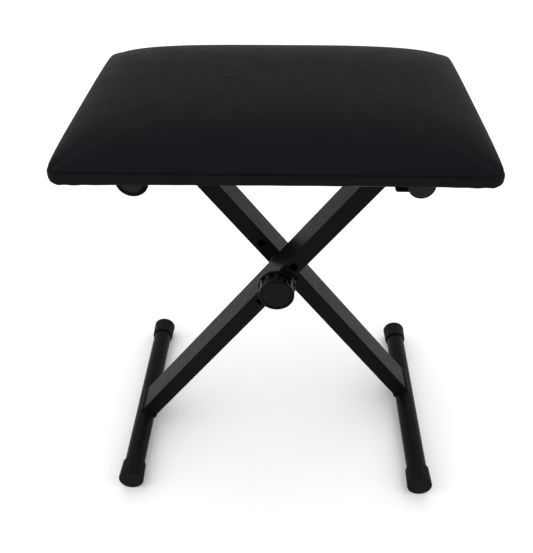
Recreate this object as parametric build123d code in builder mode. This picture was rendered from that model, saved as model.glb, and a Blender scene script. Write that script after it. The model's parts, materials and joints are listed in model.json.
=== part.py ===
from build123d import *
from math import atan2, cos, degrees, radians, sin, sqrt
import os

os.makedirs("parts", exist_ok=True)

# A folding X-leg keyboard bench. Millimetres, +Z up, origin on the floor under the middle of the
# bench. X runs along the seat's long side, and the knob is on the -Y side.
# Three bodies move against each other: the front frame (front leg, left foot tube, right top tube),
# the rear frame (rear leg, right foot tube, left top tube, carriage bolt), and the seat.

# Overall
SEAT_WIDTH = 410.0
SEAT_DEPTH = 304.0
SEAT_TOP_Z = 480.0

# Tubes of the two frames. The frames' middle stands a little to the right of the seat's.
FRAME_X = 1.5
TUBE_OD = 25.0
TUBE_WALL = 1.5
TOP_TUBE_REACH = 136.3
TOP_TUBE_LENGTH = 240.0
FOOT_TUBE_REACH = 180.0
FOOT_TUBE_Z = 15.0
FOOT_SPAN = 297.0

# Legs: 20 x 40 rectangular tube and its powder coat, broad side facing front and back
LEG_THICK = 20.5
LEG_BROAD = 40.5
LEG_WALL = 1.5
LEG_CORNER = 1.7
LEG_GAP = 7.0
LEG_END = 11.7
BOLT_HOLE = 9.0
BOLT_HOLE_PITCH = 32.0
BOLT_HOLE_COUNT = 3

# Foot caps and top tube plugs
CAP_LENGTH = 25.0
CAP_RADIUS = 15.4
CAP_RIM_RADIUS = 14.6
CAP_FLOOR = 3.0
CAP_GROOVES = 10
PLUG_DEPTH = 12.0
PLUG_HEAD_RADIUS = 13.1
PLUG_HEAD = 1.8
PRESS_GAP = 0.05

# Seat: board, foam, cover, dust cover
BOARD_BOTTOM_Z = 439.5
BOARD_THICK = 9.0
COVER_THICK = 1.0
HEM_THICK = 0.8
HEM_WIDTH = 28.0
DUST_THICK = 0.5
PLAN_CORNER = 13.0
CROWN_POWER = 3.7
CROWN_STEPS = (0.0, 0.25, 0.5, 0.7, 0.85, 0.95)

# Seat brackets
BRACKET_THICK = 3.0
BRACKET_GAP = 0.4
STRAP_WIDTH = 15.0
STRAP_FRONT_Y = -118.0
STRAP_EAR_REACH = 34.0
STRAP_SCREW_REACH = 25.0
HOOK_WIDTH = 26.0
HOOK_FRONT_Y = -104.0
HOOK_EAR_REACH = 38.0
HOOK_SCREW_REACH = 27.0
HOOK_SCREW_PITCH = 14.0
HOOK_LIP_REACH = 21.0

# Seat screws and T-nuts
SCREW_RADIUS = 3.0
SCREW_HEAD_RADIUS = 5.2
SCREW_HEAD = 3.2
SCREW_LENGTH = 12.0
TNUT_FLANGE_RADIUS = 6.6
TNUT_FLANGE = 1.5
TNUT_BARREL_RADIUS = 3.9
TNUT_BARREL = 8.0
STAPLE = (9.0, 0.8, 0.5)
STAPLE_INSET = 21.0
STAPLE_COUNT_LONG = 15
STAPLE_COUNT_SHORT = 10

# Pivot bolt and knob
BOLT_RADIUS = 4.0
BOLT_HEAD_RADIUS = 10.0
BOLT_HEAD = 4.5
BOLT_NECK = 8.4
BOLT_NECK_LENGTH = 4.5
RUN_GAP = 0.3
WASHER_RADIUS = 11.0
WASHER_THICK = 1.6
SPACER_RADIUS = 9.5
KNOB_FLANGE_RADIUS = 22.3
KNOB_FLANGE = 3.0
KNOB_BODY_RADIUS = 21.2
KNOB_NECK_RADIUS = 20.4
KNOB_FACE_RADIUS = 20.6
KNOB_DEPTH = 20.0
KNOB_FACE = 3.4
KNOB_FACE_EDGE = 1.6
KNOB_FLUTES = 12
KNOB_FLUTE_START = 16.6
KNOB_FLUTE_RADIUS = 3.6
KNOB_FLUTE_DEPTH = 2.2
KNOB_CAP_RADIUS = 17.4
KNOB_CAP_THICK = 1.4
KNOB_RIM = 0.7
INSERT_FLATS = 13.0
INSERT_LENGTH = 10.0
INSERT_BACK = 3.0

# Worked-out places
tube_radius = TUBE_OD / 2
tube_bore = tube_radius - TUBE_WALL
board_top_z = BOARD_BOTTOM_Z + BOARD_THICK
cover_bottom_z = BOARD_BOTTOM_Z - HEM_THICK
bracket_top_z = BOARD_BOTTOM_Z - DUST_THICK
bracket_bore = tube_radius + BRACKET_GAP
bracket_outer = bracket_bore + BRACKET_THICK
top_tube_z = bracket_top_z - bracket_outer
left_top_x = FRAME_X - TOP_TUBE_REACH
right_top_x = FRAME_X + TOP_TUBE_REACH
left_foot_x = FRAME_X - FOOT_TUBE_REACH
right_foot_x = FRAME_X + FOOT_TUBE_REACH
leg_run = TOP_TUBE_REACH + FOOT_TUBE_REACH
leg_rise = top_tube_z - FOOT_TUBE_Z
lean = degrees(atan2(leg_rise, leg_run))
leg_span = sqrt(leg_run**2 + leg_rise**2)
pivot_z = FOOT_TUBE_Z + leg_rise * FOOT_TUBE_REACH / leg_run
leg_mid_y = (LEG_GAP + LEG_BROAD) / 2
leg_front_y = -leg_mid_y - LEG_BROAD / 2
leg_rear_y = leg_mid_y + LEG_BROAD / 2
strap_mid_y = STRAP_FRONT_Y + STRAP_WIDTH / 2
hook_mid_y = HOOK_FRONT_Y + HOOK_WIDTH / 2
washer_back_y = leg_front_y - RUN_GAP
knob_back_y = washer_back_y - WASHER_THICK - RUN_GAP
knob_front_y = knob_back_y - KNOB_DEPTH

strap_screws_xy = [
    (left_top_x + side * STRAP_SCREW_REACH, end * strap_mid_y) for side in (-1, 1) for end in (1, -1)
]
hook_screws_xy = [
    (right_top_x + HOOK_SCREW_REACH, end * hook_mid_y + step * HOOK_SCREW_PITCH / 2)
    for end in (1, -1)
    for step in (-1, 1)
]
seat_screws_xy = strap_screws_xy + hook_screws_xy


def facing_front(x, y, z, turn=0.0):
    """A plane that looks out of the front (-Y), its X axis turned up from +X by `turn` degrees."""
    return Plane(origin=(x, y, z), x_dir=(cos(radians(turn)), 0, sin(radians(turn))), z_dir=(0, -1, 0))


def write(part, label):
    """Name a finished piece and write it to its own file."""
    part.label = label
    export_step(part, f"parts/{label}.step")


# ---- Seat ----------------------------------------------------------------------------------


def crown_outline(share, inset):
    """Width, depth and corner radius of the crown's level line at a share of its full rise.

    The crown is a product superellipse: it stays full across the middle and falls away faster at
    the corners, so that each higher level line is smaller and rounder.
    """
    along_side = (1 - share**2) ** (1 / CROWN_POWER)
    along_diagonal = (1 - share) ** (1 / CROWN_POWER)
    width = (SEAT_WIDTH - 2 * inset) * along_side
    depth = (SEAT_DEPTH - 2 * inset) * along_side
    cut_in = (along_side - along_diagonal) * (SEAT_WIDTH + SEAT_DEPTH) / 4
    return width, depth, PLAN_CORNER - inset + cut_in / (1 - sqrt(0.5))


def crown_levels(inset):
    """The crown's level faces, from the board's top face up, moved in by `inset` all over."""
    rise = SEAT_TOP_Z - inset - board_top_z
    levels = []
    for share in CROWN_STEPS:
        with BuildSketch(Plane.XY.offset(board_top_z + rise * share / CROWN_STEPS[-1])) as level:
            RectangleRounded(*crown_outline(share, inset))
        levels.append(level.sketch.face())
    return levels


with BuildPart() as seat_board:
    with BuildSketch(Plane.XY.offset(BOARD_BOTTOM_Z)):
        RectangleRounded(
            SEAT_WIDTH - 2 * COVER_THICK, SEAT_DEPTH - 2 * COVER_THICK, PLAN_CORNER - COVER_THICK
        )
    extrude(amount=BOARD_THICK)
    with Locations(*[(x, y, board_top_z) for x, y in seat_screws_xy]):
        CounterBoreHole(
            radius=TNUT_BARREL_RADIUS + PRESS_GAP,
            counter_bore_radius=TNUT_FLANGE_RADIUS + PRESS_GAP,
            counter_bore_depth=TNUT_FLANGE,
            depth=BOARD_THICK,
        )
write(seat_board.part, "seat_board")

with BuildPart() as foam_pad:
    loft(crown_levels(COVER_THICK))
write(foam_pad.part, "foam_pad")

with BuildPart() as seat_cover:
    loft(crown_levels(0))
    with BuildSketch(Plane.XY.offset(cover_bottom_z)):
        RectangleRounded(SEAT_WIDTH, SEAT_DEPTH, PLAN_CORNER)
    extrude(amount=board_top_z - cover_bottom_z)
    add(foam_pad.part, mode=Mode.SUBTRACT)
    with BuildSketch(Plane.XY.offset(BOARD_BOTTOM_Z)):
        RectangleRounded(
            SEAT_WIDTH - 2 * COVER_THICK, SEAT_DEPTH - 2 * COVER_THICK, PLAN_CORNER - COVER_THICK
        )
    extrude(amount=BOARD_THICK, mode=Mode.SUBTRACT)
    with BuildSketch(Plane.XY.offset(cover_bottom_z)):
        Rectangle(SEAT_WIDTH - 2 * HEM_WIDTH, SEAT_DEPTH - 2 * HEM_WIDTH)
    extrude(amount=HEM_THICK, mode=Mode.SUBTRACT)
write(seat_cover.part, "seat_cover")

with BuildPart() as dust_cover:
    with BuildSketch(Plane.XY.offset(bracket_top_z)):
        Rectangle(SEAT_WIDTH - 2 * HEM_WIDTH, SEAT_DEPTH - 2 * HEM_WIDTH)
        with Locations(*strap_screws_xy, *hook_screws_xy):
            Circle(SCREW_RADIUS + BRACKET_GAP, mode=Mode.SUBTRACT)
    extrude(amount=DUST_THICK)
write(dust_cover.part, "dust_cover")

with BuildPart() as seat_staples:
    staple_run = STAPLE[0]
    with BuildSketch(Plane.XY.offset(cover_bottom_z - STAPLE[2])):
        long_step = (SEAT_WIDTH - 2 * STAPLE_INSET - 2 * staple_run) / (STAPLE_COUNT_LONG - 1)
        short_step = (SEAT_DEPTH - 2 * STAPLE_INSET - 2 * staple_run) / (STAPLE_COUNT_SHORT - 1)
        with GridLocations(long_step, SEAT_DEPTH - 2 * STAPLE_INSET, STAPLE_COUNT_LONG, 2):
            Rectangle(STAPLE[0], STAPLE[1])
        with GridLocations(SEAT_WIDTH - 2 * STAPLE_INSET, short_step, 2, STAPLE_COUNT_SHORT):
            Rectangle(STAPLE[1], STAPLE[0])
    extrude(amount=STAPLE[2])
write(seat_staples.part, "seat_staples")

with BuildPart() as t_nuts:
    with BuildSketch(Plane.XY.offset(board_top_z - TNUT_FLANGE)):
        with Locations(*seat_screws_xy):
            Circle(TNUT_FLANGE_RADIUS)
            Circle(SCREW_RADIUS + PRESS_GAP, mode=Mode.SUBTRACT)
    extrude(amount=TNUT_FLANGE)
    with BuildSketch(Plane.XY.offset(board_top_z - TNUT_BARREL)):
        with Locations(*seat_screws_xy):
            Circle(TNUT_BARREL_RADIUS)
            Circle(SCREW_RADIUS + PRESS_GAP, mode=Mode.SUBTRACT)
    extrude(amount=TNUT_BARREL - TNUT_FLANGE)
write(t_nuts.part, "t_nuts")


def seat_screws(places):
    """Pan-head screws driven up through a bracket into the T-nuts."""
    head_top_z = bracket_top_z - BRACKET_THICK
    with BuildPart() as screws:
        with BuildSketch(Plane.XY.offset(head_top_z - SCREW_HEAD)):
            with Locations(*places):
                Circle(SCREW_HEAD_RADIUS)
        extrude(amount=SCREW_HEAD)
        fillet(screws.edges().group_by(Axis.Z)[0], radius=SCREW_HEAD / 2)
        with BuildSketch(Plane.XY.offset(head_top_z)):
            with Locations(*places):
                Circle(SCREW_RADIUS)
        extrude(amount=SCREW_LENGTH)
        with BuildSketch(Plane.XY.offset(head_top_z - SCREW_HEAD)):
            with Locations(*places):
                Rectangle(1.0, 5.0)
                Rectangle(5.0, 1.0)
        extrude(amount=SCREW_HEAD / 2, mode=Mode.SUBTRACT)
    return screws.part


write(seat_screws(strap_screws_xy), "strap_screws")
write(seat_screws(hook_screws_xy), "hook_screws")


def saddle_strap(front_y):
    """A strap round the left top tube, screwed up under the board, that lets the tube turn."""
    with BuildPart() as strap:
        with BuildSketch(facing_front(left_top_x, front_y + STRAP_WIDTH, top_tube_z)):
            Circle(bracket_outer)
            with Locations((0, bracket_outer - BRACKET_THICK / 2)):
                Rectangle(2 * STRAP_EAR_REACH, BRACKET_THICK)
            Circle(bracket_bore, mode=Mode.SUBTRACT)
        extrude(amount=STRAP_WIDTH)
        ear_corners = strap.edges().filter_by(Axis.Z).group_by(Axis.X)
        fillet(ear_corners[0] + ear_corners[-1], radius=STRAP_WIDTH / 3)
        with Locations(
            *[(left_top_x + side * STRAP_SCREW_REACH, front_y + STRAP_WIDTH / 2, bracket_top_z)
              for side in (-1, 1)]
        ):
            Hole(radius=SCREW_RADIUS + BRACKET_GAP, depth=2 * BRACKET_THICK)
    return strap.part


write(saddle_strap(STRAP_FRONT_Y), "saddle_strap_front")
write(saddle_strap(-STRAP_FRONT_Y - STRAP_WIDTH), "saddle_strap_rear")


def tube_hook(front_y):
    """A hook open towards the middle of the seat, which the right top tube lies in."""
    mid_y = front_y + HOOK_WIDTH / 2
    with BuildPart() as hook:
        with BuildSketch(facing_front(right_top_x, front_y + HOOK_WIDTH, top_tube_z)):
            Circle(bracket_outer)
            Circle(bracket_bore, mode=Mode.SUBTRACT)
            with Locations((-bracket_outer, 0)):
                Rectangle(2 * bracket_outer, 2 * bracket_outer, mode=Mode.SUBTRACT)
            with Locations((bracket_outer / 2, bracket_outer)):
                Rectangle(2 * bracket_outer, 2 * bracket_outer, mode=Mode.SUBTRACT)
            with Locations((bracket_bore + BRACKET_THICK / 2, bracket_outer / 2)):
                Rectangle(BRACKET_THICK, bracket_outer)
            with Locations(((bracket_bore + HOOK_EAR_REACH) / 2, bracket_outer - BRACKET_THICK / 2)):
                Rectangle(HOOK_EAR_REACH - bracket_bore, BRACKET_THICK)
            with Locations((-HOOK_LIP_REACH / 2, -bracket_bore - BRACKET_THICK / 2)):
                Rectangle(HOOK_LIP_REACH, BRACKET_THICK)
        extrude(amount=HOOK_WIDTH)
        corners = hook.edges().filter_by(Axis.Z).group_by(Axis.X)
        fillet(corners[0] + corners[-1], radius=BRACKET_THICK)
        with Locations(
            *[(right_top_x + HOOK_SCREW_REACH, mid_y + step * HOOK_SCREW_PITCH / 2, bracket_top_z)
              for step in (-1, 1)]
        ):
            Hole(radius=SCREW_RADIUS + BRACKET_GAP, depth=2 * BRACKET_THICK)
    return hook.part


write(tube_hook(HOOK_FRONT_Y), "tube_hook_front")
write(tube_hook(-HOOK_FRONT_Y - HOOK_WIDTH), "tube_hook_rear")

# ---- Frames --------------------------------------------------------------------------------


def leg(side, mid_y):
    """A leg that leans from its foot tube at -side to its top tube at +side."""
    along = Vector(side * cos(radians(lean)), 0, sin(radians(lean)))
    foot_x = FRAME_X - side * FOOT_TUBE_REACH
    top_x = FRAME_X + side * TOP_TUBE_REACH
    foot = Vector(foot_x, mid_y, FOOT_TUBE_Z)
    with BuildPart() as piece:
        with BuildSketch(Plane(origin=foot + along * LEG_END, x_dir=(0, 1, 0), z_dir=along)):
            RectangleRounded(LEG_BROAD, LEG_THICK, LEG_CORNER)
            RectangleRounded(
                LEG_BROAD - 2 * LEG_WALL, LEG_THICK - 2 * LEG_WALL, LEG_CORNER - LEG_WALL,
                mode=Mode.SUBTRACT,
            )
        extrude(amount=leg_span - 2 * LEG_END)
        for x, z in ((foot_x, FOOT_TUBE_Z), (top_x, top_tube_z)):
            with BuildSketch(facing_front(x, mid_y, z)):
                Circle(tube_radius)
            extrude(amount=LEG_BROAD, both=True, mode=Mode.SUBTRACT)
        with BuildSketch(facing_front(FRAME_X, mid_y, pivot_z, side * lean)):
            with GridLocations(BOLT_HOLE_PITCH, 1, BOLT_HOLE_COUNT, 1):
                Rectangle(BOLT_HOLE, BOLT_HOLE)
        extrude(amount=LEG_BROAD, both=True, mode=Mode.SUBTRACT)
    return piece.part


def round_tube(x, z, length):
    """A tube that runs front to back."""
    with BuildPart() as tube:
        with BuildSketch(facing_front(x, 0, z)):
            Circle(tube_radius)
            Circle(tube_bore, mode=Mode.SUBTRACT)
        extrude(amount=length / 2, both=True)
    return tube.part


def foot_cap(x, end):
    """A grooved rubber cap over one end of a foot tube, with a flat to stand on."""
    open_y = FOOT_SPAN / 2 - CAP_LENGTH
    tube_end_y = FOOT_SPAN / 2 - CAP_FLOOR
    end_y = FOOT_SPAN / 2
    with BuildPart() as cap:
        with BuildSketch(Plane(origin=(x, 0, FOOT_TUBE_Z), x_dir=(1, 0, 0), z_dir=(0, 0, 1))):
            with BuildLine():
                Polyline(
                    (tube_radius + PRESS_GAP, end * tube_end_y),
                    (tube_radius + PRESS_GAP, end * open_y),
                    (CAP_RIM_RADIUS, end * open_y),
                    (CAP_RADIUS, end * tube_end_y),
                    (CAP_RADIUS, end * end_y),
                    (0, end * end_y),
                    (0, end * tube_end_y),
                    close=True,
                )
            make_face()
        revolve(axis=Axis((x, 0, FOOT_TUBE_Z), (0, 1, 0)))
        outer_edge = cap.edges().filter_by(GeomType.CIRCLE).sort_by(lambda edge: -abs(edge.center().Y))
        fillet(outer_edge.filter_by(lambda edge: edge.radius > CAP_RIM_RADIUS)[0], radius=2.0)
        with BuildSketch(facing_front(x, end * (open_y + 3), FOOT_TUBE_Z)):
            with PolarLocations(CAP_RADIUS + 0.2, CAP_GROOVES, start_angle=90):
                Circle(1.1)
        extrude(amount=-end * (CAP_LENGTH - 8), mode=Mode.SUBTRACT)
        with Locations((x, end * (open_y + CAP_LENGTH / 2), -5)):
            Box(4 * CAP_RADIUS, 2 * CAP_LENGTH, 10, mode=Mode.SUBTRACT)
    return cap.part


def tube_plug(x, end, head):
    """A push-in plug for a top tube's end, flush with it or with a head of thickness `head`."""
    tube_end_y = TOP_TUBE_LENGTH / 2
    with BuildPart() as plug:
        with BuildSketch(facing_front(x, end * (tube_end_y - PLUG_DEPTH), top_tube_z)):
            Circle(tube_bore - PRESS_GAP)
        extrude(amount=-end * PLUG_DEPTH)
        if head:
            with BuildSketch(facing_front(x, end * tube_end_y, top_tube_z)):
                Circle(PLUG_HEAD_RADIUS)
            extrude(amount=-end * head)
        face_edges = plug.edges().sort_by(lambda edge: -abs(edge.center().Y))
        fillet(face_edges[0], radius=1.2)
        with BuildSketch(facing_front(x, end * (tube_end_y - PLUG_DEPTH), top_tube_z)):
            Circle(tube_bore - 2)
        extrude(amount=-end * (PLUG_DEPTH - 2), mode=Mode.SUBTRACT)
    return plug.part


write(leg(1, -leg_mid_y), "front_leg")
write(leg(-1, leg_mid_y), "rear_leg")
write(round_tube(left_foot_x, FOOT_TUBE_Z, FOOT_SPAN - 2 * CAP_FLOOR), "left_foot_tube")
write(round_tube(right_foot_x, FOOT_TUBE_Z, FOOT_SPAN - 2 * CAP_FLOOR), "right_foot_tube")
write(round_tube(left_top_x, top_tube_z, TOP_TUBE_LENGTH), "left_top_tube")
write(round_tube(right_top_x, top_tube_z, TOP_TUBE_LENGTH), "right_top_tube")
for end, end_name in ((-1, "front"), (1, "rear")):
    write(foot_cap(left_foot_x, end), f"left_foot_cap_{end_name}")
    write(foot_cap(right_foot_x, end), f"right_foot_cap_{end_name}")
    write(tube_plug(left_top_x, end, 0), f"left_top_plug_{end_name}")
    write(tube_plug(right_top_x, end, PLUG_HEAD), f"right_top_plug_{end_name}")

# ---- Pivot bolt and knob -------------------------------------------------------------------


def ring(back_y, thick, outer, bore):
    """A flat ring on the pivot axis, from back_y towards the front."""
    with BuildPart() as piece:
        with BuildSketch(facing_front(FRAME_X, back_y, pivot_z)):
            Circle(outer)
            Circle(bore, mode=Mode.SUBTRACT)
        extrude(amount=thick)
    return piece.part


bolt_tip_y = knob_back_y - INSERT_BACK - INSERT_LENGTH - 1

with BuildPart() as carriage_bolt:
    with BuildSketch(facing_front(FRAME_X, leg_rear_y, pivot_z)):
        Circle(BOLT_RADIUS)
    extrude(amount=leg_rear_y - bolt_tip_y)
    chamfer(carriage_bolt.edges().group_by(Axis.Y)[0], length=1.0)
    with BuildSketch(facing_front(FRAME_X, leg_rear_y, pivot_z, -lean)):
        Rectangle(BOLT_NECK, BOLT_NECK)
    extrude(amount=BOLT_NECK_LENGTH)
    dome_radius = (BOLT_HEAD_RADIUS**2 + BOLT_HEAD**2) / (2 * BOLT_HEAD)
    with BuildSketch(Plane(origin=(FRAME_X, 0, pivot_z), x_dir=(1, 0, 0), z_dir=(0, 0, 1))):
        with BuildLine():
            Line((0, leg_rear_y), (BOLT_HEAD_RADIUS, leg_rear_y))
            RadiusArc((BOLT_HEAD_RADIUS, leg_rear_y), (0, leg_rear_y + BOLT_HEAD), -dome_radius)
            Line((0, leg_rear_y + BOLT_HEAD), (0, leg_rear_y))
        make_face()
    revolve(axis=Axis((FRAME_X, 0, pivot_z), (0, 1, 0)))
write(carriage_bolt.part, "carriage_bolt")

write(ring(LEG_GAP / 2, LEG_GAP - RUN_GAP, SPACER_RADIUS, BOLT_RADIUS + RUN_GAP), "leg_spacer")
write(ring(washer_back_y, WASHER_THICK, WASHER_RADIUS, BOLT_RADIUS + RUN_GAP), "knob_washer")

with BuildPart() as knob:
    body_depth = KNOB_DEPTH - KNOB_FLANGE - KNOB_FACE
    with BuildSketch(facing_front(FRAME_X, knob_back_y, pivot_z)):
        Circle(KNOB_FLANGE_RADIUS)
    extrude(amount=KNOB_FLANGE)
    fillet(knob.edges(), radius=KNOB_FLANGE / 3)
    with BuildSketch(facing_front(FRAME_X, knob_back_y - KNOB_FLANGE, pivot_z)):
        Circle(KNOB_BODY_RADIUS)
    with BuildSketch(facing_front(FRAME_X, knob_back_y - KNOB_FLANGE - body_depth, pivot_z)):
        Circle(KNOB_NECK_RADIUS)
    loft()
    with BuildSketch(facing_front(FRAME_X, knob_back_y - KNOB_FLANGE, pivot_z)):
        flute_reach = KNOB_BODY_RADIUS - KNOB_FLUTE_DEPTH + KNOB_FLUTE_RADIUS
        with PolarLocations(flute_reach, KNOB_FLUTES, start_angle=KNOB_FLUTE_START):
            Circle(KNOB_FLUTE_RADIUS)
    extrude(amount=body_depth, mode=Mode.SUBTRACT)
    with BuildSketch(facing_front(FRAME_X, knob_front_y + KNOB_FACE, pivot_z)):
        Circle(KNOB_FACE_RADIUS)
    extrude(amount=KNOB_FACE)
    fillet(knob.edges().group_by(Axis.Y)[0], radius=KNOB_FACE_EDGE)
    with BuildSketch(facing_front(FRAME_X, knob_front_y, pivot_z)):
        Circle(KNOB_CAP_RADIUS)
    extrude(amount=-(KNOB_CAP_THICK + KNOB_RIM), mode=Mode.SUBTRACT)
    with BuildSketch(facing_front(FRAME_X, knob_back_y, pivot_z)):
        Circle(BOLT_RADIUS + RUN_GAP)
    extrude(amount=KNOB_DEPTH - KNOB_FACE - 1, mode=Mode.SUBTRACT)
    with BuildSketch(facing_front(FRAME_X, knob_back_y - INSERT_BACK, pivot_z)):
        RegularPolygon(radius=INSERT_FLATS / 2 + PRESS_GAP, side_count=6, major_radius=False)
    extrude(amount=INSERT_LENGTH, mode=Mode.SUBTRACT)
write(knob.part, "knob")

with BuildPart() as knob_insert:
    with BuildSketch(facing_front(FRAME_X, knob_back_y - INSERT_BACK, pivot_z)):
        RegularPolygon(radius=INSERT_FLATS / 2, side_count=6, major_radius=False)
        Circle(BOLT_RADIUS + PRESS_GAP, mode=Mode.SUBTRACT)
    extrude(amount=INSERT_LENGTH)
write(knob_insert.part, "knob_insert")

with BuildPart() as knob_cap:
    with BuildSketch(facing_front(FRAME_X, knob_front_y + KNOB_CAP_THICK + KNOB_RIM, pivot_z)):
        Circle(KNOB_CAP_RADIUS - PRESS_GAP)
    extrude(amount=KNOB_CAP_THICK)
    fillet(knob_cap.edges().group_by(Axis.Y)[0], radius=0.5)
write(knob_cap.part, "knob_cap")
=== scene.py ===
import json
import math

import bmesh
import bpy
from mathutils import Matrix, Vector, noise
from mathutils.bvhtree import BVHTree


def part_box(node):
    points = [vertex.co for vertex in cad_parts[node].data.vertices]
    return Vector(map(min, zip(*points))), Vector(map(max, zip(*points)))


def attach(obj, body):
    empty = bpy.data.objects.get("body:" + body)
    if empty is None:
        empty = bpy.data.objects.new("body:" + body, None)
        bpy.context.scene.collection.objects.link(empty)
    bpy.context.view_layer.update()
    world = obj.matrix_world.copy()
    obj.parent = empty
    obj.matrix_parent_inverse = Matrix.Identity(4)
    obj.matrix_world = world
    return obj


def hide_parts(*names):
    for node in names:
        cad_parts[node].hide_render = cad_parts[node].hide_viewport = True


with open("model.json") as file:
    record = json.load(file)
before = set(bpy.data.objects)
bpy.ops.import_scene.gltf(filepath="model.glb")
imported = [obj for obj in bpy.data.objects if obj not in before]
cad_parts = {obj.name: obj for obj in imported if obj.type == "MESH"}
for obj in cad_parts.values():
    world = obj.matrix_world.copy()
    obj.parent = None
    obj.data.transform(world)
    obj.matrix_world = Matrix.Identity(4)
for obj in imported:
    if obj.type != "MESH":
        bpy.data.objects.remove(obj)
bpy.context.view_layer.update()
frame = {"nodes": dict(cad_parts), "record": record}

# The visual model of a folding X-leg keyboard bench. Metres, +Z up, in the CAD frame: X along the
# seat's long side, the knob on the -Y side. Steel, rubber and moulded parts are the CAD nodes with
# procedural materials. The cushion with its wrapped edge, the cloth underneath and the welds are
# made here.

MM = 0.001
nodes = frame["nodes"]
scene = bpy.context.scene


# ---- Camera --------------------------------------------------------------------------------

CAMERA_PLACE = Vector((0.01262, -0.70745, 0.75363))
CAMERA_TILT = math.radians(36.71)
CAMERA_TURN = math.radians(-1.999)
CAMERA_ROLL = math.radians(-0.355)
CAMERA_LENS = 46.47


def make_camera():
    """A camera in front of the bench, looking down at it."""
    ahead = Vector((
        math.sin(CAMERA_TURN) * math.cos(CAMERA_TILT),
        math.cos(CAMERA_TURN) * math.cos(CAMERA_TILT),
        -math.sin(CAMERA_TILT),
    ))
    level = Vector((math.cos(CAMERA_TURN), -math.sin(CAMERA_TURN), 0))
    above = level.cross(ahead)
    right = level * math.cos(CAMERA_ROLL) + above * math.sin(CAMERA_ROLL)
    up = right.cross(ahead)
    camera = bpy.data.objects.new("camera", bpy.data.cameras.new("camera"))
    scene.collection.objects.link(camera)
    turn = Matrix((right, up, -ahead)).transposed()
    camera.matrix_world = Matrix.Translation(CAMERA_PLACE) @ turn.to_4x4()
    camera.data.lens = CAMERA_LENS
    camera.data.sensor_width = 36
    camera.data.clip_start = 0.01
    scene.camera = camera


# ---- Materials -----------------------------------------------------------------------------


class Finish:
    """A Principled material that reads its patterns from the object's own coordinates."""

    def __init__(self, name, colour, roughness, **constants):
        self.material = bpy.data.materials.new(name)
        self.material.use_nodes = True
        self.tree = self.material.node_tree
        self.shader = self.tree.nodes["Principled BSDF"]
        self.shader.inputs["Base Color"].default_value = (*colour, 1)
        self.shader.inputs["Roughness"].default_value = roughness
        for socket, value in constants.items():
            self.shader.inputs[socket.replace("_", " ")].default_value = value
        self.colour = colour
        self.roughness = roughness
        self.place = self.tree.nodes.new("ShaderNodeTexCoord").outputs["Object"]
        self.normal = None

    def link(self, source, target):
        self.tree.links.new(source, target)
        return target

    def stretched(self, x, y, z):
        """Coordinates scaled unevenly, for a pattern that runs one way."""
        mapping = self.tree.nodes.new("ShaderNodeMapping")
        mapping.inputs["Scale"].default_value = (x, y, z)
        self.link(self.place, mapping.inputs["Vector"])
        return mapping.outputs["Vector"]

    def noise(self, size, detail=3.0, rough=0.55, place=None):
        """Cloudy noise whose blobs are about `size` metres across."""
        node = self.tree.nodes.new("ShaderNodeTexNoise")
        node.inputs["Scale"].default_value = 1 / size
        node.inputs["Detail"].default_value = detail
        node.inputs["Roughness"].default_value = rough
        self.link(place or self.place, node.inputs["Vector"])
        return node.outputs["Fac"]

    def cells(self, size, feature="DISTANCE_TO_EDGE", place=None):
        """Cells about `size` metres across."""
        node = self.tree.nodes.new("ShaderNodeTexVoronoi")
        node.feature = feature
        node.inputs["Scale"].default_value = 1 / size
        self.link(place or self.place, node.inputs["Vector"])
        return node.outputs["Distance"]

    def spread(self, value, low, high, to_low, to_high):
        """The part of a pattern from low to high, spread from to_low to to_high."""
        node = self.tree.nodes.new("ShaderNodeMapRange")
        node.clamp = True
        node.inputs["From Min"].default_value = low
        node.inputs["From Max"].default_value = high
        node.inputs["To Min"].default_value = to_low
        node.inputs["To Max"].default_value = to_high
        self.link(value, node.inputs["Value"])
        return node.outputs["Result"]

    def sum(self, *parts):
        """The sum of several (pattern, weight) pairs."""
        total = None
        for value, weight in parts:
            node = self.tree.nodes.new("ShaderNodeMath")
            node.operation = "MULTIPLY_ADD"
            node.inputs[1].default_value = weight
            node.inputs[2].default_value = 0
            self.link(value, node.inputs[0])
            if total is not None:
                self.link(total, node.inputs[2])
            total = node.outputs["Value"]
        return total

    def tint(self, pattern, darker, lighter):
        """Colour that runs from one multiple of the base colour to another."""
        node = self.tree.nodes.new("ShaderNodeMix")
        node.data_type = "RGBA"
        colours = [socket for socket in node.inputs if socket.type == "RGBA"]
        colours[0].default_value = (*[channel * darker for channel in self.colour], 1)
        colours[1].default_value = (*[channel * lighter for channel in self.colour], 1)
        self.link(pattern, node.inputs["Factor"])
        result = next(socket for socket in node.outputs if socket.type == "RGBA")
        self.link(result, self.shader.inputs["Base Color"])
        return self

    def gloss(self, pattern, smoother, rougher):
        """Roughness that follows a pattern."""
        self.link(self.spread(pattern, 0.3, 0.7, smoother, rougher), self.shader.inputs["Roughness"])
        return self

    def bump(self, height, depth, strength=1.0):
        """Relief `depth` metres deep, on top of any relief before it."""
        node = self.tree.nodes.new("ShaderNodeBump")
        node.inputs["Strength"].default_value = strength
        node.inputs["Distance"].default_value = depth
        self.link(height, node.inputs["Height"])
        if self.normal is not None:
            self.link(self.normal, node.inputs["Normal"])
        self.normal = node.outputs["Normal"]
        self.link(self.normal, self.shader.inputs["Normal"])
        return self


def powder_coat(name, colour, roughness):
    """Satin powder coat: a fine orange peel, faint clouding of the gloss."""
    finish = Finish(name, colour, roughness, Specular_IOR_Level=0.035)
    cloud = finish.noise(60 * MM, detail=4)
    finish.tint(cloud, 0.85, 1.18)
    finish.gloss(finish.noise(9 * MM, detail=5), roughness - 0.06, roughness + 0.07)
    peel = finish.sum((finish.noise(1.6 * MM, detail=2), 1.0), (finish.noise(0.35 * MM, detail=2), 0.35))
    return finish.bump(peel, 0.06 * MM).material


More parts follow.
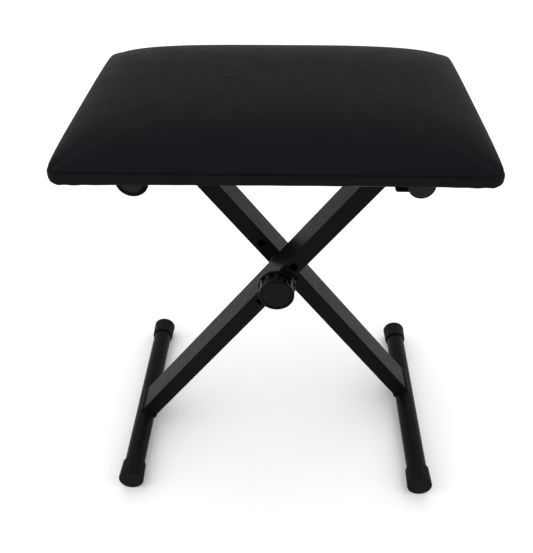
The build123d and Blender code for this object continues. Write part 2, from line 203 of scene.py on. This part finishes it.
def moulded_plastic(name, colour, roughness, specular=0.15):
    """Black moulding with a fine spark-eroded texture and faint flow marks."""
    finish = Finish(name, colour, roughness, Specular_IOR_Level=specular)
    finish.tint(finish.noise(12 * MM, detail=3), 0.85, 1.2)
    finish.gloss(finish.noise(4 * MM, detail=4), roughness - 0.05, roughness + 0.08)
    return finish.bump(finish.noise(0.45 * MM, detail=3), 0.05 * MM).material


def rubber():
    """Dull moulded rubber, with a little bloom."""
    finish = Finish("foot_rubber", (0.0036, 0.0036, 0.0044), 0.62, Specular_IOR_Level=0.06)
    finish.tint(finish.noise(7 * MM, detail=5), 0.8, 1.35)
    finish.gloss(finish.noise(3 * MM, detail=4), 0.52, 0.7)
    return finish.bump(finish.noise(0.6 * MM, detail=4), 0.08 * MM).material


def vinyl():
    """Upholstery vinyl: small pebbled grain, fine pores between the pebbles, soft sheen."""
    finish = Finish("seat_vinyl", (0.0066, 0.0069, 0.0084), 0.5, Specular_IOR_Level=0.008)
    finish.tint(finish.noise(45 * MM, detail=5), 0.86, 1.16)
    finish.gloss(finish.noise(14 * MM, detail=4), 0.42, 0.5)
    pebbles = finish.spread(finish.cells(1.15 * MM), 0.0, 0.28, 0.0, 1.0)
    fine = finish.spread(finish.cells(0.5 * MM), 0.0, 0.3, 0.0, 1.0)
    grain = finish.sum((pebbles, 1.0), (fine, 0.35), (finish.noise(2.4 * MM, detail=3), 0.5))
    return finish.bump(grain, 0.07 * MM, strength=0.8).material


def spun_cloth():
    """Spun-bonded cloth: pressed fibres and a grid of small heat-sealed dots."""
    finish = Finish("dust_cloth", (0.016, 0.016, 0.0165), 0.85, Specular_IOR_Level=0.2, Sheen_Weight=0.15)
    fibres = finish.noise(0.8 * MM, detail=6, rough=0.7, place=finish.stretched(1, 2.6, 1))
    dots = finish.spread(finish.cells(1.6 * MM, feature="F1"), 0.15, 0.4, 0.0, 1.0)
    finish.tint(fibres, 0.55, 1.6)
    return finish.bump(finish.sum((fibres, 0.8), (dots, 1.0)), 0.12 * MM).material


def plywood():
    """Birch ply: grain along X."""
    finish = Finish("plywood", (0.58, 0.42, 0.26), 0.6)
    grain = finish.noise(6 * MM, detail=6, rough=0.65, place=finish.stretched(0.08, 1, 1))
    finish.tint(grain, 0.7, 1.2)
    return finish.bump(grain, 0.1 * MM).material


def foam():
    """Open-cell foam."""
    finish = Finish("foam", (0.8, 0.76, 0.62), 0.95)
    pores = finish.cells(0.9 * MM, feature="F1")
    finish.tint(pores, 0.7, 1.1)
    return finish.bump(pores, 0.3 * MM).material


def metal(name, colour, roughness, metallic=1.0):
    """Plated metal with fine drawn lines and cloudy roughness."""
    finish = Finish(name, colour, roughness, Metallic=metallic)
    finish.tint(finish.noise(5 * MM, detail=5), 0.8, 1.1)
    finish.gloss(finish.noise(2 * MM, detail=5), roughness - 0.08, roughness + 0.12)
    lines = finish.noise(0.5 * MM, detail=4, place=finish.stretched(1, 1, 12))
    return finish.bump(lines, 0.02 * MM).material


def make_materials():
    """One material for each slot of the record."""
    return {
        "frame_steel": powder_coat("frame_steel", (0.0042, 0.0042, 0.0043), 0.34),
        # The bracket steel is the same black powder coat as the frame, but its colour is made several
        # times darker as painted shade for the shadow under the seat.
        "bracket_steel": powder_coat("bracket_steel", (0.0006, 0.0006, 0.0007), 0.5),
        "foot_rubber": rubber(),
        "plug_plastic": moulded_plastic("plug_plastic", (0.009, 0.0092, 0.0105), 0.5, 0.1),
        "spacer_nylon": moulded_plastic("spacer_nylon", (0.02, 0.02, 0.02), 0.45),
        "knob_plastic": moulded_plastic("knob_plastic", (0.0022, 0.0022, 0.0022), 0.34, 0.06),
        "knob_cap_plastic": moulded_plastic("knob_cap_plastic", (0.0032, 0.0032, 0.003), 0.46, 0.07),
        "bolt_steel": metal("bolt_steel", (0.06, 0.06, 0.065), 0.4),
        "screw_steel": metal("screw_steel", (0.08, 0.08, 0.085), 0.42),
        "zinc_steel": metal("zinc_steel", (0.56, 0.56, 0.54), 0.34),
        "insert_brass": metal("insert_brass", (0.72, 0.55, 0.25), 0.3),
        "plywood": plywood(),
        "foam": foam(),
        "seat_vinyl": vinyl(),
        "dust_cloth": spun_cloth(),
    }


# ---- Making pieces -------------------------------------------------------------------------


def add_piece(name, points, faces, slot_name, body):
    """A smooth-shaded mesh piece, with its slot's material, that rides on a body."""
    mesh = bpy.data.meshes.new(name)
    mesh.from_pydata([tuple(point) for point in points], [], faces)
    mesh.validate()
    mesh.polygons.foreach_set("use_smooth", [True] * len(mesh.polygons))
    mesh.materials.append(materials[slot_name])
    piece = bpy.data.objects.new(name, mesh)
    scene.collection.objects.link(piece)
    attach(piece, body)
    return piece


def face_outward(mesh):
    """Turn a closed mesh's faces to point outwards."""
    work = bmesh.new()
    work.from_mesh(mesh)
    bmesh.ops.recalc_face_normals(work, faces=work.faces)
    work.to_mesh(mesh)
    work.free()


def wrapped_faces(rows, columns):
    """Quads over a grid of points that closes on itself both ways, as on a ring."""
    faces = []
    for row in range(rows):
        for column in range(columns):
            after = (column + 1) % columns
            below = (row + 1) % rows
            faces.append((
                row * columns + column, row * columns + after,
                below * columns + after, below * columns + column,
            ))
    return faces


# ---- Seat ----------------------------------------------------------------------------------

seat_low, seat_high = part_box("seat_cover")
board_low, board_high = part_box("seat_board")
HALF_WIDTH = (seat_high.x - seat_low.x) / 2
HALF_DEPTH = (seat_high.y - seat_low.y) / 2
PLAN_CORNER = 13 * MM
HEM_CORNER = 3 * MM
CROWN_POWER = 3.7
CROWN_BASE_Z = board_high.z
CROWN_RISE = seat_high.z - CROWN_BASE_Z
CROWN_COLUMNS = 110
CROWN_ROWS = 84

# Where the crown meets the wrapped edge: a crease, drawn in under the crown's fullest line
CREASE_INSET = 2.3 * MM
CREASE_Z = CROWN_BASE_Z + 0.75 * MM
CREASE_REACH = 4.6 * MM

# How far the front hem hangs lower at its left end
HEM_SAG = 1.5 * MM

# The crown's form is worked out by crown_shape. A copy blown up as cloth only adds a little
# unevenness to it: a small share of its bumps, faded out towards the crease.
UNEVEN_FADE = 6 * MM
SEARCH_REACH = 14 * MM
VOXEL = 5 * MM
START_DROP = 2.0 * MM
START_INSET = 1.0 * MM
SWELL_PRESSURE = 4.0
SWELL_CAP = 6 * MM
KEPT_UNEVENNESS = 0.12
MOST_UNEVEN = 0.18 * MM
BLUR_CELLS = 5


def crown_height(across, along):
    """The crown's height as a share of its rise, at shares of the half width and half depth."""
    side = max(0.0, 1 - abs(across) ** CROWN_POWER)
    end = max(0.0, 1 - abs(along) ** CROWN_POWER)
    return math.sqrt(side * end)


def corner_centre(x, y, inset=0.0, corner=PLAN_CORNER):
    """The centre of the rounded corner nearest to a point."""
    return Vector((
        math.copysign(HALF_WIDTH - inset - corner, x),
        math.copysign(HALF_DEPTH - inset - corner, y),
    ))


def rounded_plan(across, along):
    """A place of the unit square, moved onto the seat's rounded rectangle."""
    place = Vector((across * HALF_WIDTH, along * HALF_DEPTH))
    reach = max(abs(across), abs(along))
    if reach < 1e-6:
        return place
    edge = place / reach
    centre = corner_centre(edge.x, edge.y)
    if abs(edge.x) <= abs(centre.x) or abs(edge.y) <= abs(centre.y):
        return place
    ahead = edge.normalized()
    along_ray = ahead.dot(centre)
    beside = centre - ahead * along_ray
    to_arc = along_ray + math.sqrt(max(PLAN_CORNER**2 - beside.length_squared, 0.0))
    return place * (1 + reach**6 * (to_arc / edge.length - 1))


def spaced(index, count):
    """Steps from -1 to 1, closer together towards both ends."""
    return math.sin((2 * index / count - 1) * math.pi / 2)


def grid_border(columns, rows):
    """The places round a grid of points, in order, as (column, row)."""
    border = [(column, 0) for column in range(columns)]
    border += [(columns, row) for row in range(rows)]
    border += [(column, rows) for column in range(columns, 0, -1)]
    border += [(0, row) for row in range(rows, 0, -1)]
    return border


def crown_grid(columns, rows, shape):
    """Points of a dome over the seat's plan, in rows, from a function of (across, along)."""
    return [
        shape(spaced(column, columns), spaced(row, rows))
        for row in range(rows + 1)
        for column in range(columns + 1)
    ]


def grid_faces(columns, rows, first, upward):
    """Quads over a grid of points."""
    faces = []
    for row in range(rows):
        for column in range(columns):
            corner = first + row * (columns + 1) + column
            quad = (corner, corner + 1, corner + columns + 2, corner + columns + 1)
            faces.append(quad if upward else tuple(reversed(quad)))
    return faces


def crown_shape(across, along):
    """The finished crown, its foot drawn in to the crease."""
    plan = rounded_plan(across, along)
    above = CROWN_RISE * crown_height(across, along)
    pull = CREASE_INSET * max(0.0, 1 - above / CREASE_REACH) ** 1.8
    near_x = min(1.0, (abs(plan.x) / HALF_WIDTH) ** 24)
    near_y = min(1.0, (abs(plan.y) / HALF_DEPTH) ** 24)
    x = plan.x - math.copysign(pull * near_x, plan.x)
    y = plan.y - math.copysign(pull * near_y, plan.y)
    return Vector((x, y, CREASE_Z + above * (seat_high.z - CREASE_Z) / CROWN_RISE))


def start_shape(across, along):
    """The crown before it is blown up."""
    plan = rounded_plan(across, along)
    x = plan.x * (1 - START_INSET / HALF_WIDTH)
    y = plan.y * (1 - START_INSET / HALF_DEPTH)
    return Vector((x, y, CREASE_Z + (CROWN_RISE - START_DROP) * crown_height(across, along)))


def bake_modifiers(piece):
    """Replace a piece's mesh with what its modifiers make of it."""
    graph = bpy.context.evaluated_depsgraph_get()
    baked = bpy.data.meshes.new_from_object(piece.evaluated_get(graph))
    piece.modifiers.clear()
    piece.data = baked
    piece.data.polygons.foreach_set("use_smooth", [True] * len(piece.data.polygons))


def subdivide(piece):
    modifier = piece.modifiers.new("smooth", "SUBSURF")
    modifier.levels = 1
    modifier.render_levels = 1
    bake_modifiers(piece)


def swell(piece, hold_z):
    """Blow a closed mesh up as cloth for 20 frames, held below hold_z, with a cap on every move."""
    start = [vertex.co.copy() for vertex in piece.data.vertices]
    group = piece.vertex_groups.new(name="held")
    for vertex in piece.data.vertices:
        group.add([vertex.index], 1.0 if vertex.co.z < hold_z else 0.0, "REPLACE")
    cloth = piece.modifiers.new("swell", "CLOTH")
    cloth.settings.vertex_group_mass = group.name
    cloth.settings.quality = 6
    cloth.settings.mass = 0.35
    cloth.settings.tension_stiffness = 25
    cloth.settings.compression_stiffness = 25
    cloth.settings.shear_stiffness = 12
    cloth.settings.bending_stiffness = 4
    cloth.settings.use_pressure = True
    cloth.settings.uniform_pressure_force = SWELL_PRESSURE
    cloth.settings.effector_weights.gravity = 0
    for moment in range(1, 21):
        scene.frame_set(moment)
    graph = bpy.context.evaluated_depsgraph_get()
    swollen = [vertex.co.copy() for vertex in piece.evaluated_get(graph).data.vertices]
    piece.modifiers.clear()
    for vertex, before, after in zip(piece.data.vertices, start, swollen):
        move = after - before
        vertex.co = before + move * min(1.0, SWELL_CAP / max(move.length, 1e-9))
    scene.frame_set(1)


def blown_crown():
    """A closed copy of the crown, remeshed and blown up as cloth."""
    columns, rows = 60, 44
    points = crown_grid(columns, rows, start_shape)
    count = len(points)
    points += [Vector((point.x, point.y, CREASE_Z - 1.5 * MM)) for point in points]
    faces = grid_faces(columns, rows, 0, True) + grid_faces(columns, rows, count, False)
    border = [row * (columns + 1) + column for column, row in grid_border(columns, rows)]
    for here, after in zip(border, border[1:] + border[:1]):
        faces.append((after, here, count + here, count + after))
    mesh = bpy.data.meshes.new("blown_crown")
    mesh.from_pydata([tuple(point) for point in points], [], faces)
    piece = bpy.data.objects.new("blown_crown", mesh)
    scene.collection.objects.link(piece)
    modifier = piece.modifiers.new("remesh", "REMESH")
    modifier.mode = "VOXEL"
    modifier.voxel_size = VOXEL
    bake_modifiers(piece)
    swell(piece, CREASE_Z + 1 * MM)
    return piece


def unevenness(points, columns, rows):
    """A small share of the blown-up crown's bumps, within a limit, at each point of the grid."""
    blown = blown_crown()
    tree = BVHTree.FromObject(blown, bpy.context.evaluated_depsgraph_get())
    bpy.data.objects.remove(blown)
    width = columns + 1
    stand = []
    for index, point in enumerate(points):
        row, column = divmod(index, width)
        left, right = max(column - 1, 0), min(column + 1, columns)
        front, back = max(row - 1, 0), min(row + 1, rows)
        along_x = points[row * width + right] - points[row * width + left]
        along_y = points[back * width + column] - points[front * width + column]
        outward = along_x.cross(along_y).normalized()
        hit = tree.ray_cast(point + outward * SEARCH_REACH, -outward, 2 * SEARCH_REACH)[0]
        stand.append((hit - point).dot(outward) if hit else 0.0)
    smooth = stand
    for _ in range(2):
        smooth = blurred(blurred(smooth, columns, rows, 1, 0), columns, rows, 0, 1)
    return [
        max(-MOST_UNEVEN, min(MOST_UNEVEN, KEPT_UNEVENNESS * (here - mean)))
        for here, mean in zip(stand, smooth)
    ]


def blurred(values, columns, rows, step_column, step_row):
    """A running mean of the grid's values along one of its directions."""
    width = columns + 1
    means = []
    for index in range(len(values)):
        row, column = divmod(index, width)
        total, count = 0.0, 0
        for step in range(-BLUR_CELLS, BLUR_CELLS + 1):
            near_column, near_row = column + step * step_column, row + step * step_row
            if 0 <= near_column <= columns and 0 <= near_row <= rows:
                total += values[near_row * width + near_column]
                count += 1
        means.append(total / count)
    return means


# The wrapped edge's section, from the crease down the board's edge, under the board to the hem's
# end, and back along the board: (distance in from the seat's outline, height above the board's
# underside), in millimetres.
EDGE_OUTSIDE = [
    (1.75, 9.62), (1.2, 9.5), (0.7, 9.2), (0.3, 8.7), (0.08, 8.0), (0.0, 7.0), (-0.05, 5.6),
    (-0.05, 4.2), (0.02, 2.9), (0.2, 1.6), (0.6, 0.5), (1.2, -0.35), (2.1, -0.95), (3.4, -1.25),
    (5.5, -1.35), (8.5, -1.3), (12.5, -1.15), (17.0, -0.95), (22.0, -0.8), (26.8, -0.75), (28.0, -0.4),
]
EDGE_INSIDE = [
    (26.8, -0.05), (16.0, -0.05), (6.0, -0.05), (1.6, -0.05), (0.93, -0.03), (0.93, 4.5), (0.93, 9.06),
]

# Folds beside each corner: (distance from the corner, depth, width) in millimetres. Distances
# above zero lie on the seat's long sides, and those below zero on its short sides.
PLEATS = (
    (26, 0.75, 5.0), (11, 0.55, 4.0), (-12, 0.6, 4.5),
    (-31, 0.5, 5.5), (44, 0.25, 7.0), (-52, 0.2, 8.0),
)


def pleat_depth(place):
    """How far the gathered vinyl hangs at a place round the seat: folds on both sides of each corner."""
    from_x, from_y = HALF_WIDTH - abs(place.x), HALF_DEPTH - abs(place.y)
    round_corner = (from_x - from_y) / MM
    jitter = 2.5 * noise.noise(Vector((math.copysign(3, place.x), math.copysign(5, place.y), 0.5)))
    return sum(
        depth * math.exp(-(((round_corner - middle - jitter) / width) ** 2))
        for middle, depth, width in PLEATS
    ) * MM


def edge_ring(border, inset, height):
    """One line of the wrapped edge, round the whole seat."""
    ring = []
    for place in border:
        centre = corner_centre(place.x, place.y)
        out = place - centre
        if abs(place.x) > abs(centre.x) and abs(place.y) > abs(centre.y):
            outward = out.normalized()
            corner = max(PLAN_CORNER - inset, HEM_CORNER)
            plan = corner_centre(place.x, place.y, inset, corner) + outward * corner
        elif abs(place.x) > abs(centre.x):
            outward = Vector((math.copysign(1, place.x), 0))
            share = (abs(centre.y) - max(inset - PLAN_CORNER + HEM_CORNER, 0)) / abs(centre.y)
            plan = Vector((place.x, place.y * share)) - outward * inset
        else:
            outward = Vector((0, math.copysign(1, place.y)))
            share = (abs(centre.x) - max(inset - PLAN_CORNER + HEM_CORNER, 0)) / abs(centre.x)
            plan = Vector((place.x * share, place.y)) - outward * inset
        ring.append(Vector((plan.x, plan.y, board_low.z + height)))
    return ring


def gather(point, place, inset, height):
    """Hang the pleats below the board, and make the drawn vinyl slightly uneven."""
    pleat = pleat_depth(place)
    under = max(0.0, min(1.0, (1.4 * MM - height) / (1.6 * MM)))
    fade = max(0.0, 1 - max(0.0, inset - 8 * MM) / (16 * MM))
    point.z -= pleat * under * fade
    drawn = noise.noise(Vector((place.x, place.y, 0.2)) / (26 * MM))
    fine = noise.noise(Vector((place.x, place.y, 0.7)) / (9 * MM))
    point.z -= (0.22 * drawn + 0.08 * fine) * MM * under
    slack = max(0.0, min(1.0, (0.4 - place.x / HALF_WIDTH) / 1.2)) * max(0.0, -place.y / HALF_DEPTH)
    point.z -= HEM_SAG * slack * slack * fade * max(0.0, min(1.0, (6 * MM - height) / (6 * MM)))
    middle = max(0.0, 1 - abs(height - 4.5 * MM) / (5 * MM))
    out = Vector((point.x / HALF_WIDTH, point.y / HALF_DEPTH, 0)).normalized()
    return point + out * middle * (0.10 * drawn * MM + 0.25 * pleat)


def make_cushion():
    """The seat's padded skin: the crown, its crease, the edge wrapped under the board, and the hem."""
    columns, rows = CROWN_COLUMNS, CROWN_ROWS
    crown = crown_grid(columns, rows, crown_shape)
    for index, stand in enumerate(unevenness(crown, columns, rows)):
        above = crown[index].z - CREASE_Z
        crown[index].z += stand * min(1.0, above / UNEVEN_FADE)
    border_index = [row * (columns + 1) + column for column, row in grid_border(columns, rows)]
    border = [
        rounded_plan(spaced(column, columns), spaced(row, rows))
        for column, row in grid_border(columns, rows)
    ]
    points = list(crown)
    rings = [border_index]
    for inset, height in EDGE_OUTSIDE:
        rings.append(range(len(points), len(points) + len(border)))
        ring = edge_ring(border, inset * MM, height * MM)
        points += [gather(point, place, inset * MM, height * MM) for point, place in zip(ring, border)]
    for inset, height in EDGE_INSIDE:
        rings.append(range(len(points), len(points) + len(border)))
        points += edge_ring(border, inset * MM, height * MM)
    first = len(points)
    floor_z = board_low.z + EDGE_INSIDE[-1][1] * MM
    points += [Vector((point.x, point.y, floor_z)) for point in crown]
    rings.append([first + index for index in border_index])
    faces = grid_faces(columns, rows, 0, True) + grid_faces(columns, rows, first, False)
    for upper, lower in zip(rings, rings[1:]):
        for here in range(len(border)):
            after = (here + 1) % len(border)
            faces.append((upper[after], upper[here], lower[here], lower[after]))
    piece = add_piece("seat_cushion", points, faces, "seat_vinyl", "seat")
    face_outward(piece.data)
    subdivide(piece)
    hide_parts("seat_cover", "foam_pad")


CLOTH_OVERLAP = 10.5 * MM
CLOTH_CELL = 4 * MM
CLOTH_THICK = 0.25 * MM


def make_dust_sheet():
    """The cloth stapled over the board's underside and the hem's inner edge."""
    low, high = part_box("dust_cover")
    half_x = (high.x - low.x) / 2 + CLOTH_OVERLAP
    half_y = (high.y - low.y) / 2 + CLOTH_OVERLAP
    columns, rows = int(2 * half_x / CLOTH_CELL), int(2 * half_y / CLOTH_CELL)
    points, faces = [], []
    for row in range(rows + 1):
        for column in range(columns + 1):
            x = half_x * (2 * column / columns - 1)
            y = half_y * (2 * row / rows - 1)
            ragged = 0.5 * MM * noise.noise(Vector((x, y, 0)) / (15 * MM))
            inside = min(half_x - abs(x), half_y - abs(y))
            over_hem = max(0.0, min(1.0, (CLOTH_OVERLAP + 3 * MM - inside) / (5 * MM)))
            slack = noise.noise(Vector((x, y, 3)) / (38 * MM)) * 0.12 * MM
            z = low.z + 0.22 * MM + slack - over_hem * 0.52 * MM
            if column in (0, columns):
                x += ragged
            if row in (0, rows):
                y += ragged
            points.append((x, y, z))
    width = columns + 1
    for row in range(rows):
        for column in range(columns):
            corner = row * width + column
            faces.append((corner, corner + width, corner + width + 1, corner + 1))
    piece = add_piece("dust_sheet", points, faces, "dust_cloth", "seat")
    thick = piece.modifiers.new("thick", "SOLIDIFY")
    thick.thickness = CLOTH_THICK
    thick.offset = 0
    bake_modifiers(piece)
    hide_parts("dust_cover")


# ---- Welds ---------------------------------------------------------------------------------

LEG_END = 11.7 * MM
LEG_THICK = 20.5 * MM
LEG_CORNER = 1.7 * MM
WELD_STEPS = 168
WELD_RING = 12
WELD_RIPPLES = 56


def leg_outline(share, half_broad, half_thick, corner):
    """A point on a rounded rectangle at a share of the way round it: (along Y, across the leg)."""
    straight_broad, straight_thick = 2 * (half_broad - corner), 2 * (half_thick - corner)
    arc = math.pi / 2 * corner
    sides = [(straight_broad, 0), (straight_thick, 90), (straight_broad, 180), (straight_thick, 270)]
    travel = share % 1.0 * (2 * (straight_broad + straight_thick) + 4 * arc)
    y, across = -straight_broad / 2, -half_thick
    for length, heading in sides:
        ahead = Vector((math.cos(math.radians(heading)), math.sin(math.radians(heading))))
        if travel <= length:
            return Vector((y, across)) + ahead * travel
        travel -= length
        start = Vector((y, across)) + ahead * length
        centre = start + Vector((-ahead.y, ahead.x)) * corner
        if travel <= arc:
            turn = travel / corner
            out = start - centre
            return centre + Vector((out.x * math.cos(turn) - out.y * math.sin(turn),
                                    out.x * math.sin(turn) + out.y * math.cos(turn)))
        travel -= arc
        out = start - centre
        y, across = centre + Vector((-out.y, out.x))
    return Vector((y, across))


def make_weld(name, leg, tube, body):
    """A rippled bead where a leg's square end meets a tube."""
    leg_low, leg_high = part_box(leg)
    tube_low, tube_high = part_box(tube)
    axis_x, axis_z = (tube_low.x + tube_high.x) / 2, (tube_low.z + tube_high.z) / 2
    radius = (tube_high.x - tube_low.x) / 2
    middle_y = (leg_low.y + leg_high.y) / 2
    half_broad = (leg_high.y - leg_low.y) / 2
    mid_x, mid_z = (leg_low.x + leg_high.x) / 2, (leg_low.z + leg_high.z) / 2
    ahead = Vector((mid_x - axis_x, 0, mid_z - axis_z)).normalized()
    sideways = Vector((-ahead.z, 0, ahead.x))
    half_thick = LEG_THICK / 2
    path, sizes = [], []
    for step in range(WELD_STEPS):
        y, across = leg_outline(step / WELD_STEPS, half_broad, half_thick, LEG_CORNER)
        on_tube = math.sqrt(radius**2 - across**2)
        gap = max(LEG_END - on_tube, 0.0)
        centre = (on_tube + LEG_END) / 2 if gap else on_tube
        path.append(Vector((axis_x, middle_y + y, axis_z)) + ahead * centre + sideways * across * 0.965)
        ripple = 1 + 0.07 * math.sin(step / WELD_STEPS * 2 * math.pi * WELD_RIPPLES)
        drift = 1 + 0.10 * noise.noise(path[-1] / (6 * MM))
        sizes.append((gap * 0.5 + 0.75 * MM) * ripple * drift)
    points = []
    for step, (place, size) in enumerate(zip(path, sizes)):
        tangent = (path[(step + 1) % WELD_STEPS] - path[step - 1]).normalized()
        first = ahead.cross(tangent).normalized()
        second = tangent.cross(first)
        for spoke in range(WELD_RING):
            angle = 2 * math.pi * spoke / WELD_RING
            points.append(place + (first * math.cos(angle) * 0.8 + second * math.sin(angle)) * size)
    piece = add_piece(name, points, wrapped_faces(WELD_STEPS, WELD_RING), "frame_steel", body)
    face_outward(piece.data)
    return piece


def make_welds():
    make_weld("weld_left_foot", "front_leg", "left_foot_tube", "front_frame")
    make_weld("weld_right_top", "front_leg", "right_top_tube", "front_frame")
    make_weld("weld_right_foot", "rear_leg", "right_foot_tube", "rear_frame")
    make_weld("weld_left_top", "rear_leg", "left_top_tube", "rear_frame")


# ---- CAD nodes -----------------------------------------------------------------------------


def finish_nodes():
    """Give every CAD node its slot's material."""
    for row in frame["record"]["subparts"]:
        mesh = nodes[row["node"]].data
        mesh.materials.clear()
        mesh.materials.append(materials[row["material_slot"]])


# ---- Studio --------------------------------------------------------------------------------


def make_floor():
    """A wide pale floor."""
    half = 9.0
    mesh = bpy.data.meshes.new("floor")
    corners = [(-half, -half, 0), (half, -half, 0), (half, half, 0), (-half, half, 0)]
    mesh.from_pydata(corners, [], [(0, 1, 2, 3)])
    floor = bpy.data.objects.new("floor", mesh)
    scene.collection.objects.link(floor)
    paint = bpy.data.materials.new("floor")
    paint.use_nodes = True
    shader = paint.node_tree.nodes["Principled BSDF"]
    shader.inputs["Base Color"].default_value = (0.93, 0.93, 0.93, 1)
    shader.inputs["Roughness"].default_value = 0.9
    shader.inputs["Specular IOR Level"].default_value = 0.1
    mesh.materials.append(paint)


def add_light(name, place, aim, size, watts):
    """A square soft light that looks at a point."""
    light = bpy.data.lights.new(name, "AREA")
    light.shape = "RECTANGLE"
    light.size, light.size_y = size
    light.energy = watts
    lamp = bpy.data.objects.new(name, light)
    scene.collection.objects.link(lamp)
    lamp.location = place
    lamp.rotation_euler = (Vector(aim) - Vector(place)).to_track_quat("-Z", "Y").to_euler()


def make_studio():
    """Soft light from above and a bright room all round."""
    make_floor()
    world = bpy.data.worlds.new("studio")
    world.use_nodes = True
    world.node_tree.nodes["Background"].inputs["Color"].default_value = (1, 1, 1, 1)
    world.node_tree.nodes["Background"].inputs["Strength"].default_value = 1.25
    scene.world = world
    add_light("overhead", (-0.2, 0.5, 2.4), (0, 0, 0.3), (2.6, 2.2), 4)
    add_light("left_fill", (-2.2, -0.6, 1.5), (0, 0, 0.3), (1.4, 1.8), 5)
    scene.view_settings.view_transform = "Standard"


materials = make_materials()
make_camera()
make_studio()
finish_nodes()
make_cushion()
make_dust_sheet()
make_welds()
